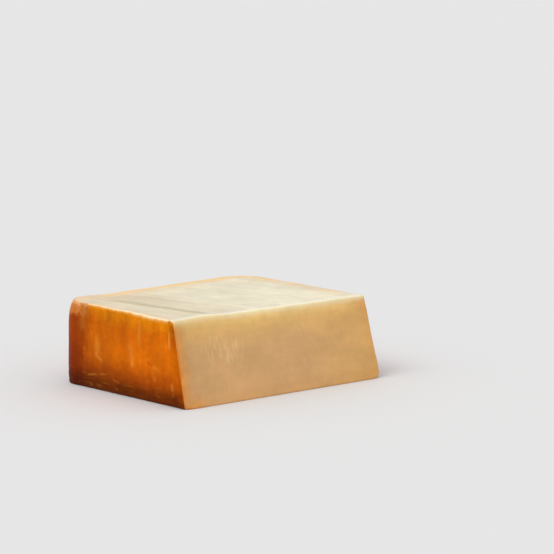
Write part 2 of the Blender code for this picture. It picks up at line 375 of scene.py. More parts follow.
class BlockColours(PropertyGroup):
    """Colours of the rind and of the cuts."""

    rind: shade("Rind", "Most of the smoked rind", 206, 101, 0)
    rind_light: shade("Rind Light", "Lighter parts of the rind", 232, 142, 34)
    # Rind Amber is a painted glow of light through the cheese under the rind's top edge.
    rind_amber: shade("Rind Amber", "The band under the rind's top edge", 226, 134, 2)
    # Rind Low and Rind Foot make the rind browner towards its foot: partly smoke, partly painted shade.
    rind_low: shade("Rind Low", "The rind above its foot", 166, 72, 0)
    rind_foot: shade("Rind Foot", "The rind at its foot", 116, 48, 0)
    # Corner, Corner Low and Corner Foot darken the rounded back corners: partly smoke, partly painted
    # shade.
    corner: shade("Corner", "Smoke-darkened corners", 157, 60, 0)
    corner_low: shade("Corner Low", "A smoke-darkened corner above its foot", 126, 41, 0)
    corner_foot: shade("Corner Foot", "A smoke-darkened corner's foot", 88, 27, 0)
    # Ridge, Ridge Fade and Below Ridge make a pale line along the rubbed top edge: partly worn rind, partly
    # painted highlight.
    ridge: shade("Ridge", "Pale cheese where the top edge has rubbed", 255, 233, 194)
    ridge_fade: shade("Ridge Fade", "The pale edge's lower part", 249, 189, 116)
    below_ridge: shade("Below Ridge", "Rubbed rind just below the top edge", 227, 150, 52)
    shoulder: shade("Shoulder", "The rubbed shoulder over a rounded corner", 213, 128, 58)
    shoulder_top: shade("Shoulder Top", "The shoulder's upper part", 234, 174, 122)
    shoulder_pale: shade("Shoulder Pale", "The cut top beside the shoulder", 245, 202, 162)
    # Scuff colours the light marks and the painted highlights on the creases near the foot.
    scuff: shade("Scuff", "Light marks on the rind", 238, 154, 56)
    # Bruise colours the dark marks, one of them painted shade in the chip.
    bruise: shade("Bruise", "Dark marks on the rind", 136, 54, 0)
    # Cream, Grey Cream and Pale are partly the cheese's colour and partly a painted sheen that makes the
    # top paler.
    cream: shade("Cream", "The cut top", 238, 228, 199)
    grey_cream: shade("Grey Cream", "The cut top's left part", 230, 215, 184)
    pale: shade("Pale", "The cut top along its front edge", 241, 231, 207)
    drag: shade("Drag", "The top's drag streaks", 181, 167, 126)
    # Golden, along the back edge, is partly smoke and partly a painted glow of the light from behind.
    golden: shade("Golden", "Smoke in the top's back edge", 249, 208, 136)
    peach: shade("Peach", "Smoke further in from the top's edges", 240, 208, 166)
    dusk: shade("Dusk", "Smoke over the cut top's back left part", 210, 186, 146)
    # Crest is a painted highlight on the front's top edge, the band from Crest Fade to Honey Low a painted
    # glow of light through the cheese, and Tan the same cheese as the top, painted darker and warmer as
    # shade.
    crest: shade("Crest", "The front's top edge", 255, 247, 220)
    crest_fade: shade("Crest Fade", "The front just under its top edge", 254, 233, 184)
    cream_butter: shade("Cream Butter", "The front 3 mm under its top edge", 249, 221, 166)
    butter: shade("Butter", "The front's lighter upper band", 244, 205, 132)
    honey: shade("Honey", "The front below its upper band", 235, 189, 114)
    honey_low: shade("Honey Low", "The front's upper half", 227, 179, 114)
    tan: shade("Tan", "The front", 220, 172, 116)
    warm_tan: shade("Warm Tan", "The front towards its right end", 221, 172, 98)
    fringe: shade("Fringe", "The front's edge beside the rind", 222, 139, 56)
    seam: shade("Seam", "A lighter line beside the front's edge", 236, 162, 80)
    fringe_in: shade("Fringe In", "Smoke that has crept into the front", 226, 163, 94)
    fringe_far: shade("Fringe Far", "The front's edge at the right end", 214, 153, 94)


class StudioSettings(PropertyGroup):
    """Camera, floor and light."""

    azimuth: degrees("Azimuth", "The camera's way round the block, from -Y towards +X", -40.3)
    elevation: degrees("Elevation", "The camera's pitch", 8.5)
    distance: metres("Distance", "From the camera to the point that it looks at", 1.6017)
    aim: FloatVectorProperty(
        name="Aim", description="The point that the camera looks at", size=3,
        default=(0.05374, 0.0, 0.06467), subtype="XYZ", unit="LENGTH",
    )
    lens: FloatProperty(name="Lens", description="Focal length in millimetres", default=150.0)
    key_light: brightness("Key Light", "Strength of the light from the left", 0.87)
    air_light: brightness("Air Light", "Strength of the light from all round", 0.79)
    floor: FloatVectorProperty(
        name="Floor", description="The studio's floor", subtype="COLOR", size=3,
        default=(0.79, 0.79, 0.79),
    )


# ---- The block's shape ----


def ease(t):
    """Eases from 0 to 1."""
    t = np.clip(t, 0.0, 1.0)
    return t * t * (3.0 - 2.0 * t)


def plan_corners(sizes):
    """The four corners of the top before rounding, with the front top edge on y = 0."""
    half = sizes.front_length / 2
    return (
        np.array((-half, 0.0)),
        np.array((half, 0.0)),
        np.array((half + sizes.right_splay, sizes.right_width)),
        np.array((-half - sizes.left_splay, sizes.left_width)),
    )


def corner_arc(sizes, index):
    """The rounding of one corner: centre, radius, the direction where it starts, and its turn."""
    corners = plan_corners(sizes)
    here, before, after = corners[index], corners[index - 1], corners[(index + 1) % 4]
    to_before = (before - here) / np.linalg.norm(before - here)
    to_after = (after - here) / np.linalg.norm(after - here)
    half_angle = math.acos(float(to_before @ to_after)) / 2
    bisector = (to_before + to_after) / np.linalg.norm(to_before + to_after)
    radius = CORNER_RADIUS[index]
    start = math.atan2(to_before[0], -to_before[1])
    end = math.atan2(-to_after[0], to_after[1])
    return here + bisector * (radius / math.sin(half_angle)), radius, start, (end - start) % math.tau


def arc_points(arc, shares):
    """Points of an arc and their outward normals."""
    centre, radius, start, turn = arc
    angles = start + turn * np.asarray(shares)
    normals = np.stack((np.cos(angles), np.sin(angles)), axis=1)
    return centre + normals * radius, normals


def outline(sizes):
    """The outline, anticlockwise: points, normals, side, and way to both ends of that side."""
    parts = []
    half = sizes.arc_steps
    for side in range(4):
        first, last = corner_arc(sizes, side), corner_arc(sizes, (side + 1) % 4)
        steps = sizes.long_steps if side in (FRONT, BACK) else sizes.short_steps
        lead, lead_normals = arc_points(first, 0.5 + 0.5 * np.arange(half) / half)
        tail, tail_normals = arc_points(last, 0.5 * np.arange(1, half + 1) / half)
        ends = np.concatenate((arc_points(first, [1.0])[0], arc_points(last, [0.0])[0]))
        share = (np.arange(steps + 1) / steps)[:, None]
        straight = ends[0] * (1 - share) + ends[1] * share
        straight_normals = np.repeat(arc_points(first, [1.0])[1], steps + 1, axis=0)
        points = np.concatenate((lead, straight, tail))
        normals = np.concatenate((lead_normals, straight_normals, tail_normals))
        ways = np.concatenate(([0.0], np.cumsum(np.linalg.norm(np.diff(points, axis=0), axis=1))))
        count = len(points) - 1
        parts.append((points[:count], normals[:count], np.full(count, side), ways[:count],
                      ways[-1] - ways[:count]))
    return tuple(np.concatenate(column) for column in zip(*parts))


def along(sizes, line, table, extra=CORNER_REACH):
    """A value that each side and each corner has, eased from the one to the other on the outline."""
    sides, corners = (np.array(row) for row in table)
    _, _, side, from_start, to_end = line
    reach = np.array([corner_arc(sizes, k)[1] * corner_arc(sizes, k)[3] / 2 + extra for k in range(4)])
    value = sides[side]
    for corner, way in ((side, from_start), ((side + 1) % 4, to_end)):
        value = value + (corners[corner] - sides[side]) * (1.0 - ease(way / reach[corner]))
    return value


def wall_rings(sizes, line):
    """The rings of the wall from foot to top edge, each an array of points."""
    inset, drop = along(sizes, line, TOP_INSET), along(sizes, line, TOP_DROP)
    foot, rise = along(sizes, line, FOOT_INSET), along(sizes, line, FOOT_RISE)
    bulge = along(sizes, line, BULGE)
    quarter = np.arange(sizes.edge_steps + 1) / sizes.edge_steps * math.pi / 2
    rings = [(foot * (1 - math.sin(a)), rise * (1 - math.cos(a))) for a in quarter]
    for k in range(1, sizes.wall_steps):
        rings.append((0.0 * inset, rise + (sizes.height - drop - rise) * k / sizes.wall_steps))
    rings += [(inset * (1 - math.cos(a)), sizes.height - drop * (1 - math.sin(a))) for a in quarter]
    made = []
    for inwards, height in rings:
        swell = bulge * np.sin(math.pi * height / sizes.height)
        plan = line[0] + line[1] * (swell - inwards)[:, None]
        made.append(np.column_stack((plan, height)))
    return made


def cap_grid(rim, columns, rows):
    """A grid of points spread between the four edges of a rim."""
    south = rim[: columns + 1]
    east = rim[columns : columns + rows + 1]
    north = rim[columns + rows : 2 * columns + rows + 1][::-1]
    west = np.concatenate((rim[2 * columns + rows :], rim[:1]))[::-1]
    u = (np.arange(columns + 1) / columns)[None, :, None]
    v = (np.arange(rows + 1) / rows)[:, None, None]
    edges = south[None] * (1 - v) + north[None] * v + west[:, None] * (1 - u) + east[:, None] * u
    low = south[0] * (1 - u) + south[-1] * u
    high = north[0] * (1 - u) + north[-1] * u
    return edges - low * (1 - v) - high * v


def cap_indices(ring_start, inside_start, columns, rows):
    """The vertex numbers of a cap's grid, whose edge is a ring of the wall."""
    count = 2 * (columns + rows)
    grid = np.zeros((rows + 1, columns + 1), int)
    grid[0] = ring_start + np.arange(columns + 1)
    grid[:, columns] = ring_start + columns + np.arange(rows + 1)
    grid[rows] = ring_start + 2 * columns + rows - np.arange(columns + 1)
    grid[1:, 0] = ring_start + (count - np.arange(1, rows + 1)) % count
    grid[1:-1, 1:-1] = inside_start + np.arange((columns - 1) * (rows - 1)).reshape(rows - 1, -1)
    return grid


def unevenness(sizes, x, y):
    """How far the cut top stands above or below its own level at a place."""
    width = (sizes.left_width + sizes.right_width) / 2
    across = np.maximum(0, 1 - (2 * x / sizes.front_length) ** 2)
    across = across * np.maximum(0, 1 - (2 * y / width - 1) ** 2)
    wave = np.sin(math.tau * x / sizes.front_length) * y / width
    level = BACK_WAVE * wave - TOP_DISH * across
    for at_x, at_y, spread, height in TOP_BUMPS:
        level = level + height * np.exp(-((x - at_x) ** 2 + (y - at_y) ** 2) / spread**2)
    return level


def shape_points(sizes, points):
    """Gives the plain block its slants and uneven top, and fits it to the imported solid's box."""
    x, y, z = points.T
    width = (sizes.left_width + sizes.right_width) / 2
    share = z / sizes.height
    made = np.column_stack((
        x + sizes.end_slant * (1 - share) * x / (sizes.front_length / 2),
        y - sizes.front_slant * (1 - share) * (1 - y / width),
        z + unevenness(sizes, x, y) * share * share,
    ))
    low, high = made.min(axis=0), made.max(axis=0)
    box_low, box_high = np.array(BOX_LOW), np.array(BOX_HIGH)
    return box_low + (made - low) * (box_high - box_low) / (high - low)


def block_mesh(sizes):
    """The block as one closed mesh of four-sided faces, with its cut faces and outline marked."""
    line = outline(sizes)
    count = len(line[0])
    rings = wall_rings(sizes, line)
    columns, rows = sizes.long_steps + 2 * sizes.arc_steps, sizes.short_steps + 2 * sizes.arc_steps
    top, under = cap_grid(rings[-1], columns, rows), cap_grid(rings[0], columns, rows)
    inside = [grid[1:-1, 1:-1].reshape(-1, 3) for grid in (top, under)]
    points = shape_points(sizes, np.concatenate(rings + inside))

    first_inside = len(rings) * count
    top_index = cap_indices((len(rings) - 1) * count, first_inside, columns, rows)
    under_index = cap_indices(0, first_inside + len(inside[0]), columns, rows)[::-1]
    ring = np.arange(count)
    after = (ring + 1) % count
    faces, on_top, on_front = [], [], []
    for level in range(len(rings) - 1):
        low, high = level * count, (level + 1) * count
        faces.append(np.column_stack((low + ring, low + after, high + after, high + ring)))
        on_top.append(np.zeros(count, bool))
        on_front.append(line[2] == FRONT)
    for grid, is_top in ((top_index, True), (under_index, False)):
        quads = np.stack((grid[:-1, :-1], grid[:-1, 1:], grid[1:, 1:], grid[1:, :-1]), axis=-1)
        faces.append(quads.reshape(-1, 4))
        on_top.append(np.full(len(faces[-1]), is_top))
        on_front.append(np.zeros(len(faces[-1]), bool))

    mesh = bpy.data.meshes.new("smoked_gouda")
    mesh.from_pydata(points.tolist(), [], np.concatenate(faces).tolist())
    for name, values in (("on_top", on_top), ("on_front", on_front)):
        mesh.attributes.new(name, "BOOLEAN", "FACE").data.foreach_set("value", np.concatenate(values))
    for name, (table, reach) in OUTLINE_MASKS.items():
        mask = along(sizes, line, table, reach)
        mask = np.concatenate((np.tile(mask, len(rings)), np.zeros(len(points) - first_inside)))
        mesh.attributes.new(name, "FLOAT", "POINT").data.foreach_set("value", mask)
    mesh.shade_smooth()
    mesh.update()
    return mesh


# ---- Building node trees ----


def title(name):
    """The name of a node's input, from a name in the script."""
    return name.replace("_", " ").title()


class Tree:
    """Adds nodes to a tree; an input is a value or the socket that feeds it."""

    def __init__(self, tree):
        self.tree = tree

    def node(self, kind, inputs=(), **settings):
        made = self.tree.nodes.new(kind)
        for name, value in settings.items():
            setattr(made, name, value)
        for key, value in dict(inputs).items():
            if isinstance(value, bpy.types.NodeSocket):
                self.tree.links.new(value, made.inputs[key])
            else:
                made.inputs[key].default_value = value
        return made

    def ends_in(self, socket):
        """Feeds the tree's output and gives the tree back."""
        self.tree.links.new(socket, self.tree.nodes.new("NodeGroupOutput").inputs[0])
        return self.tree

    def math(self, operation, first, second=0.0, third=0.0):
        inputs = {0: first, 1: second, 2: third}
        return self.node("ShaderNodeMath", inputs, operation=operation).outputs[0]

    def times(self, first, *others):
        """The product of its values."""
        for other in others:
            first = self.math("MULTIPLY", first, other)
        return first

    def shifted(self, value, noise, reach):
        """A value that noise shifts by up to a reach."""
        return self.math("MULTIPLY_ADD", noise, reach, value)

    def vector(self, operation, first, second=(0.0, 0.0, 0.0)):
        made = self.node("ShaderNodeVectorMath", {0: first, 1: second}, operation=operation)
        return made.outputs["Value" if operation in ("DISTANCE", "DOT_PRODUCT", "LENGTH") else "Vector"]

    def scaled(self, vector, factor):
        """A vector made longer, or a colour made lighter, by a factor."""
        inputs = {0: vector, "Scale": factor}
        return self.node("ShaderNodeVectorMath", inputs, operation="SCALE").outputs[0]

    def turned(self, vector, angle):
        """A vector turned about Z."""
        inputs = {"Vector": vector, "Axis": (0.0, 0.0, 1.0), "Angle": angle}
        return self.node("ShaderNodeVectorRotate", inputs, rotation_type="AXIS_ANGLE").outputs[0]

    def parts(self, vector):
        """The X, Y and Z of a vector."""
        return self.node("ShaderNodeSeparateXYZ", {0: vector}).outputs

    def span(self, value, start, stop, low=0.0, high=1.0, kind="SMOOTHSTEP"):
        """Maps value from start..stop to low..high."""
        inputs = {0: value, 1: start, 2: stop, 3: low, 4: high}
        return self.node("ShaderNodeMapRange", inputs, interpolation_type=kind).outputs[0]

    def noise(self, vector, size, seed, detail, roughness=0.5):
        """Noise from 0 to 1 whose features are size = (x, y, z) metres wide."""
        scaled = self.vector("DIVIDE", vector, size)
        inputs = {"Vector": scaled, "W": seed, "Scale": 1.0, "Detail": detail, "Roughness": roughness}
        return self.node("ShaderNodeTexNoise", inputs, noise_dimensions="4D").outputs[0]


def new_tree(name, kind, output, **inputs):
    """A node tree with named inputs of each kind and one output: (tree, its inputs' sockets)."""
    tree = bpy.data.node_groups.new(name, kind)
    for socket_kind, names in inputs.items():
        for socket_name in names:
            tree.interface.new_socket(socket_name, in_out="INPUT",
                                      socket_type="NodeSocket" + socket_kind.title())
    socket_name, socket_kind = output
    tree.interface.new_socket(socket_name, in_out="OUTPUT", socket_type="NodeSocket" + socket_kind.title())
    return Tree(tree), tree.nodes.new("NodeGroupInput").outputs


# ---- The block's relief, by Geometry Nodes ----


def distance_to(tree, geometry, chosen):
    """How far each point lies from the faces that are chosen."""
    part = tree.node("GeometryNodeSeparateGeometry", {0: geometry, 1: chosen}, domain="FACE")
    near = tree.node("GeometryNodeProximity", {0: part.outputs[0]}, target_element="FACES")
    return near.outputs["Distance"]


def relief_tree():
    """Geometry Nodes that raise the block's relief, measure it, and give it its materials."""
    tree, value = new_tree(
        "gouda_relief", "GeometryNodeTree", ("Geometry", "geometry"), geometry=["Geometry"],
        float=[title(name) for name in BlockRelief.__annotations__] + ["Seed"], vector=["Chip Place"],
        material=["Rind", "Cut Top", "Cut Front"],
    )

    def stored(name, kind="FLOAT"):
        """A value that the mesh carries."""
        return tree.node("GeometryNodeInputNamedAttribute", {0: name}, data_type=kind).outputs[0]

    def waves(place, size, detail):
        """Noise from -1 to 1."""
        noise = tree.noise(place, size, value["Seed"], detail)
        return tree.span(noise, *NOISE_LEVELS, -1.0, 1.0, "LINEAR")

    on_top, on_front = stored("on_top", "BOOLEAN"), stored("on_front", "BOOLEAN")
    is_cut = tree.node("FunctionNodeBooleanMath", {0: on_top, 1: on_front}, operation="OR").outputs[0]
    is_rind = tree.node("FunctionNodeBooleanMath", {0: is_cut}, operation="NOT").outputs[0]

    geometry = value["Geometry"]
    chosen_faces = {"to_rind": is_rind, "to_cut": is_cut, "to_top": on_top, "to_front": on_front}
    for name, chosen in chosen_faces.items():
        inputs = {0: geometry, "Name": name, "Value": distance_to(tree, geometry, chosen)}
        geometry = tree.node("GeometryNodeStoreNamedAttribute", inputs, data_type="FLOAT").outputs[0]

    position = tree.node("GeometryNodeInputPosition").outputs[0]
    normal = tree.node("GeometryNodeInputNormal").outputs[0]
    z = tree.parts(position)[2]
    rind_share, cut_share = (tree.span(stored(name), *PAST_EDGE) for name in ("to_rind", "to_cut"))
    full_wrinkles = tree.times(value["Wrinkle Reach"], FULL_WRINKLES)
    near_foot = tree.span(z, full_wrinkles, value["Wrinkle Reach"], 1.0, 0.0)

    size = tree.node("ShaderNodeCombineXYZ", {k: value["Swell Size"] for k in range(3)}).outputs[0]
    swell = tree.times(waves(position, size, SWELL_DETAIL), value["Swell Height"])
    streaks = tree.times(waves(position, RIND_STREAK_SIZE, RIND_STREAK_DETAIL), value["Streak Height"],
                         rind_share)
    creases = tree.times(waves(position, CREASE_SIZE, CREASE_DETAIL), value["Wrinkle Height"], near_foot,
                         rind_share)
    turned = tree.turned(position, tree.times(value["Drag Turn"], -1.0))
    drags = tree.times(waves(turned, DRAG_SIZE, DRAG_DETAIL), value["Drag Height"], cut_share)

    total = tree.math("ADD", tree.math("ADD", swell, streaks), tree.math("ADD", creases, drags))
    chip = tree.vector("DISTANCE", position, value["Chip Place"])
    chip = tree.span(chip, 0.0, value["Chip Size"], value["Chip Depth"], 0.0)
    total = tree.times(tree.math("SUBTRACT", total, chip), tree.span(z, *ABOVE_FLOOR))
    inputs = {"Geometry": geometry, "Offset": tree.scaled(normal, total)}
    moved = tree.node("GeometryNodeSetPosition", inputs).outputs[0]

    real = tree.node("GeometryNodeRealizeInstances", {0: moved}).outputs[0]
    for chosen, name in ((is_rind, "Rind"), (on_top, "Cut Top"), (on_front, "Cut Front")):
        inputs = {"Geometry": real, "Selection": chosen, "Material": value[name]}
        real = tree.node("GeometryNodeSetMaterial", inputs).outputs[0]
    return tree.ends_in(real)


def apply_relief(piece, tree, values):
    """Runs the relief on a piece with its inputs set by name, and keeps the result as a plain mesh."""
    modifier = piece.modifiers.new("Relief", "NODES")
    modifier.node_group = tree
    for item in tree.interface.items_tree:
        if item.in_out == "INPUT" and item.name in values:
            modifier[item.identifier] = values[item.name]
    bpy.context.view_layer.update()
    graph = bpy.context.evaluated_depsgraph_get()
    plain = bpy.data.meshes.new_from_object(piece.evaluated_get(graph), depsgraph=graph)
    piece.modifiers.clear()
    piece.data = plain


# ---- Shader groups that the materials share ----


def streak_group():
    """A mask of soft streaks: noise whose features have a given size each way."""
    tree, value = new_tree("gouda_streaks", "ShaderNodeTree", ("Mask", "float"),
                           vector=["Vector", "Size"], float=["Seed", "Detail", "Low", "High"])
    noise = tree.noise(value["Vector"], value["Size"], value["Seed"], value["Detail"], STREAK_ROUGHNESS)
    return tree.ends_in(tree.span(noise, value["Low"], value["High"]))


def cloud_group():
    """A factor near 1 that makes a colour lighter and darker: clouds, streaks and mottling added up."""
    tree, value = new_tree("gouda_clouds", "ShaderNodeTree", ("Factor", "float"),
                           vector=["Vector", "Cloud", "Streak", "Mottle"], float=["Strength", "Seed"])
    total = 0.0
    for name, detail, share in CLOUD_PARTS:
        noise = tree.noise(value["Vector"], value[name], value["Seed"], detail)
        total = tree.shifted(total, tree.math("SUBTRACT", noise, 0.5), share)
    return tree.ends_in(tree.shifted(1.0, total, value["Strength"]))


def stroke_group():
    """A mask of one mark: a soft line of a given length and width round a centre."""
    tree, value = new_tree("gouda_stroke", "ShaderNodeTree", ("Mask", "float"),
                           vector=["Vector", "Centre", "Along"], float=["Length", "Width", "Wobble"])
    settings = {"Vector": value["Vector"], "Scale": WOBBLE_SCALE, "Detail": WOBBLE_DETAIL}
    noise = tree.node("ShaderNodeTexNoise", settings).outputs[1]
    shake = tree.scaled(tree.vector("SUBTRACT", noise, (0.5, 0.5, 0.5)), value["Wobble"])
    place = tree.vector("ADD", value["Vector"], shake)
    way = tree.vector("SUBTRACT", place, value["Centre"])
    length = tree.vector("DOT_PRODUCT", way, value["Along"])
    side = tree.vector("SUBTRACT", way, tree.scaled(value["Along"], length))
    apart = tree.vector("LENGTH", side)
    full, gone = (tree.times(value["Length"], share) for share in MARK_ENDS)
    on_length = tree.span(tree.math("ABSOLUTE", length), full, gone, 1.0, 0.0)
    return tree.ends_in(tree.times(on_length, tree.span(apart, 0.0, value["Width"], 1.0, 0.0)))


def grain_group():
    """The fine grain of cheese, as a height."""
    tree, value = new_tree("gouda_grain", "ShaderNodeTree", ("Height", "float"),
                           vector=["Vector"], float=["Size"])
    scale = tree.math("DIVIDE", 1.0, value["Size"])
    settings = {"Vector": value["Vector"], "Scale": scale, **GRAIN_NOISE}
    noise = tree.node("ShaderNodeTexNoise", settings).outputs[0]
    pits = {"Vector": value["Vector"], "Scale": tree.times(scale, PIT_SCALE), "Randomness": 1.0}
    cells = tree.node("ShaderNodeTexVoronoi", pits, feature="SMOOTH_F1").outputs["Distance"]
    return tree.ends_in(tree.math("ADD", noise, tree.span(cells, *PIT_DEPTH)))


# ---- The materials ----


class Finish(Tree):
    """A material's tree, with the table that its numbers come from."""

    def __init__(self, name, look, colours, groups):
        self.material = bpy.data.materials.new(name)
        self.material.use_nodes = True
        super().__init__(self.material.node_tree)
        self.look, self.colours, self.groups = look, colours, groups
        self.place = self.node("ShaderNodeTexCoord").outputs["Object"]

    def group(self, name, **inputs):
        """A shader node group's output, with its inputs named as in the script."""
        inputs = {title(key): value for key, value in inputs.items()}
        return self.node("ShaderNodeGroup", inputs, node_tree=self.groups[name]).outputs[0]

    def measures(self, *names):
        """What the relief and the outline left on the mesh."""
        return [self.node("ShaderNodeAttribute", attribute_name=name).outputs["Fac"] for name in names]

    def clouds(self, place):
        """The factor of the table's clouds."""
        return self.group("clouds", vector=place, **self.look["clouds"])

    def pattern(self, name, place=None):
        """The mask of one of the table's patterns."""
        size, seed, detail, low, high = self.look["patterns"][name]
        return self.group("streaks", vector=self.place if place is None else place, size=size,
                          seed=seed, detail=detail, low=low, high=high)

    def share(self, name, value):
        """The table's share of a mask."""
        return self.times(value, self.look["shares"][name])

    def fade(self, *masks, **measures):
        """The product of masks and of named fades, each along a measure, or (measure, noise)."""
        for name, measure in measures.items():
            value, *noise = measure if isinstance(measure, tuple) else (measure,)
            start, stop, low, high, *reach = self.look["fades"][name]
            value = self.shifted(value, *noise, *reach) if noise else value
            masks += (self.span(value, start, stop, low, high),)
        return self.times(*masks)

    def band(self, name, value, noise=None):
        """The colours of one of the table's bands, along a value."""
        reach, stops = self.look["bands"][name]
        if noise is not None:
            value = self.shifted(value, noise, reach)
        end = stops[-1][0]
        made = self.node("ShaderNodeValToRGB", {0: self.math("DIVIDE", value, end)})
        elements = made.color_ramp.elements
        elements[1].position = 1.0
        for place, _ in stops[1:-1]:
            elements.new(place / end)
        for element, (place, colour) in zip(elements, stops):
            element.position = place / end
            element.color = (*getattr(self.colours, colour), 1.0)
        return made.outputs[0]

    def paint(self, under, share, over):
        """Lays a share of one colour over another; a colour is a socket or one of the named colours."""
        under, over = ((*getattr(self.colours, colour), 1.0) if isinstance(colour, str) else colour
                       for colour in (under, over))
        inputs = {0: share, 6: under, 7: over}
        return self.node("ShaderNodeMix", inputs, data_type="RGBA", clamp_factor=True).outputs[2]

    def finish(self, colour, sheen, **raised):
        """Feeds the shader: sheen and grain set how rough it is, grain and the raised masks its bump."""
        grain = self.group("grain", vector=self.place, size=self.look["grain"])
        height = 0.0
        for name, mask in {"grain": grain, **raised}.items():
            height = self.shifted(height, mask, self.look["relief"][name])
        bump = {"Height": height, "Strength": 1.0, "Distance": self.look["bump"]}
        shader = self.tree.nodes["Principled BSDF"]
        self.tree.links.new(colour, shader.inputs["Base Color"])
        self.tree.links.new(self.fade(roughness=(sheen, grain)), shader.inputs["Roughness"])
        self.tree.links.new(self.node("ShaderNodeBump", bump).outputs[0], shader.inputs["Normal"])
        shader.inputs["Specular IOR Level"].default_value = self.look["specular"]
        shader.inputs["Subsurface Weight"].default_value = self.look["glow"]
        shader.inputs["Subsurface Radius"].default_value = GLOW_RADIUS
        shader.inputs["Subsurface Scale"].default_value = GLOW_SCALE
        shader.inputs["IOR"].default_value = CHEESE_IOR
        return self.material


def mark_masks(tree):
    """The light and the dark marks on the rind of the left end, as two masks."""
    x, y, z = tree.parts(tree.place)
    flat = tree.node("ShaderNodeCombineXYZ", {1: y, 2: z}).outputs[0]
    masks = {True: 0.0, False: 0.0}
    for at_y, at_z, length, width, tilt, strength in LEFT_END_MARKS:
        lean = math.radians(tilt)
        mark = tree.group("stroke", vector=flat, centre=(0.0, at_y, at_z),
                          along=(0.0, math.sin(lean), math.cos(lean)), length=length, width=width,
                          wobble=MARK_WOBBLE)
        light = strength > 0
        masks[light] = tree.math("MAXIMUM", masks[light], tree.times(mark, abs(strength)))
    return [tree.fade(masks[light], left_end=x) for light in (True, False)]


def rind_material(colours, groups):
    """Smoked rind: clouds, brushed patches, a painted amber glow on top, corners and foot browner with
    smoke and painted shade, and marks.
    """
    tree = Finish("smoked_rind", RIND_LOOK, colours, groups)
    _, y, z = tree.parts(tree.place)
    near_top, near_front, smoked, shoulder, rubbed = tree.measures(
        "to_top", "to_front", "smoked", "shoulder", "rubbed")
    factor = tree.clouds(tree.place)
    streaks = tree.fade(tree.pattern("streaks"), brushed=tree.pattern("brushed"))
    wide_waver, waver = (tree.math("SUBTRACT", tree.pattern(name), 0.5)
                         for name in ("wide_waver", "waver"))

    # Browner towards the foot: partly smoke, partly painted shade.
    colour = tree.band("rind", z, wide_waver)
    # Amber under the top edge: a painted glow of light through the cheese.
    colour = tree.paint(colour, tree.fade(amber=(near_top, wide_waver)), "rind_amber")
    # Painted light and shade: the rind made lighter towards the front and darker towards the back and the
    # foot.
    sunny = tree.fade(sunny_along=y, sunny_up=z)
    lift = tree.span(sunny, 0.0, 1.0, tree.fade(shaded_lift=z), tree.fade(sunny_lift=z), "LINEAR")
    colour = tree.scaled(colour, lift)
    colour = tree.paint(colour, tree.fade(by_front=near_front, by_front_up=z), "rind_low")

    # The rounded back corners darker: partly smoke, partly painted shade.
    smoke = tree.fade(smoke=(smoked, wide_waver), smoke_top=near_top)
    colour = tree.paint(colour, smoke, tree.band("corner", z))
    shoulder = tree.fade(shoulder=(shoulder, tree.math("ADD", waver, wide_waver)))
    colour = tree.paint(colour, tree.fade(shoulder, worn=(z, waver)), "shoulder")
    colour = tree.paint(colour, tree.fade(shoulder, worn_top=(z, waver)), "shoulder_top")
    colour = tree.paint(colour, tree.fade(tree.pattern("blotches"), smoke, blotches_up=z), "corner")

    colour = tree.paint(colour, tree.fade(lit=factor, lit_up=z), "rind_light")
    colour = tree.paint(colour, tree.fade(streaks, streaks_up=z), "rind_light")
    colour = tree.scaled(colour, factor)
    light, dark = mark_masks(tree)
    # The light dashes on the creases near the foot are painted highlights on the wrinkles.
    creases = tree.fade(tree.pattern("creases"), creases_up=z)
    light = tree.math("MAXIMUM", tree.fade(light, scuffs_up=z), creases)
    colour = tree.paint(colour, light, "scuff")

    # Pale line along the rubbed top edge: partly worn rind, partly painted highlight.
    rim = tree.math("ADD", tree.fade(near_top, rim_width=y), tree.share("rim_waver", waver))
    rim = tree.math("ADD", rim, tree.fade(rim_lift=y))
    unworn = tree.fade(unworn=shoulder)
    colour = tree.paint(colour, tree.fade(rubbed, unworn, rim=rim), tree.band("rim", rim))
    # Golden back edge of the rind: partly smoke, partly a painted glow of the light from behind.
    unrubbed = tree.math("SUBTRACT", 1.0, rubbed)
    colour = tree.paint(colour, tree.fade(unrubbed, unworn, golden=rim), "golden")
    colour = tree.paint(colour, dark, "bruise")
    return tree.finish(colour, factor, streaks=streaks, light=light)


